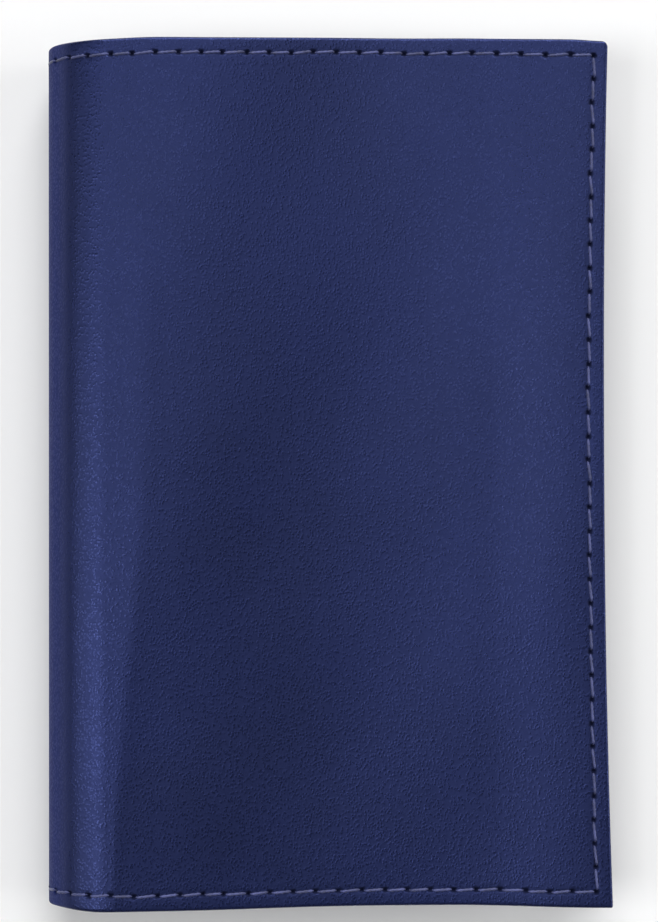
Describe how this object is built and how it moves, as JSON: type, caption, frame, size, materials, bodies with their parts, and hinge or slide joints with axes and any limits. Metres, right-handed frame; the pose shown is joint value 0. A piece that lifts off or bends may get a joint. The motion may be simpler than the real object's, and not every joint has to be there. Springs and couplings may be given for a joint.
{
  "type": "phone wallet case",
  "caption": "Book-style leather phone wallet case with a rounded spine, stitched edges, a moulded phone shell, and card and cash pockets inside its front cover.",
  "frame": {"origin": "middle of the face it rests on, the back cover's outside, with the case closed", "axes": "+X from the rounded spine to the fore edge, +Y to the case's upper edge, +Z out of the back cover towards the front cover"},
  "size_m": [0.1, 0.156, 0.022],
  "materials": {
    "navy_leather": "pebble-grained cowhide, semi-aniline, navy, satin",
    "pocket_leather": "thin skived navy leather with a fine grain, satin",
    "lining": "brushed microsuede, navy",
    "board": "fibre stiffening board, unpainted",
    "thread": "bonded polyester sewing thread, mid blue",
    "adhesive": "double-sided adhesive film, milky",
    "shell_plastic": "moulded polycarbonate, fine matt texture, near black",
    "shell_lining": "microfibre flock, dark grey"
  },
  "bodies": {
    "back": {"back_cover_leather": "navy_leather", "back_board": "board", "back_lining": "lining", "back_stitching": "thread", "shell_adhesive": "adhesive", "camera_bezel": "shell_plastic", "phone_shell": "shell_plastic", "shell_liner": "shell_lining"},
    "spine": {"spine_leather": "navy_leather", "spine_lining": "lining", "spine_stitching": "thread"},
    "front": {"front_cover_leather": "navy_leather", "front_board": "board", "front_lining": "lining", "front_stitching": "thread", "cash_pocket": "lining", "cash_pocket_stitching": "thread", "card_pocket_1": "pocket_leather", "card_pocket_2": "pocket_leather", "card_pocket_3": "pocket_leather", "card_pocket_stitching": "thread"}
  },
  "joints": [
    {"name": "spine_fold", "type": "hinge", "parent": "back", "child": "spine", "pos_m": [-0.0475, 0, 0.0025], "axis": [0, -1, 0], "range_deg": [0, 90]},
    {"name": "cover_fold", "type": "hinge", "parent": "spine", "child": "front", "pos_m": [-0.0475, 0, 0.0195], "axis": [0, -1, 0], "range_deg": [0, 90]}
  ],
  "couplings": [
    {"joint": "spine_fold", "follows": "cover_fold", "ratio": 1}
  ]
}
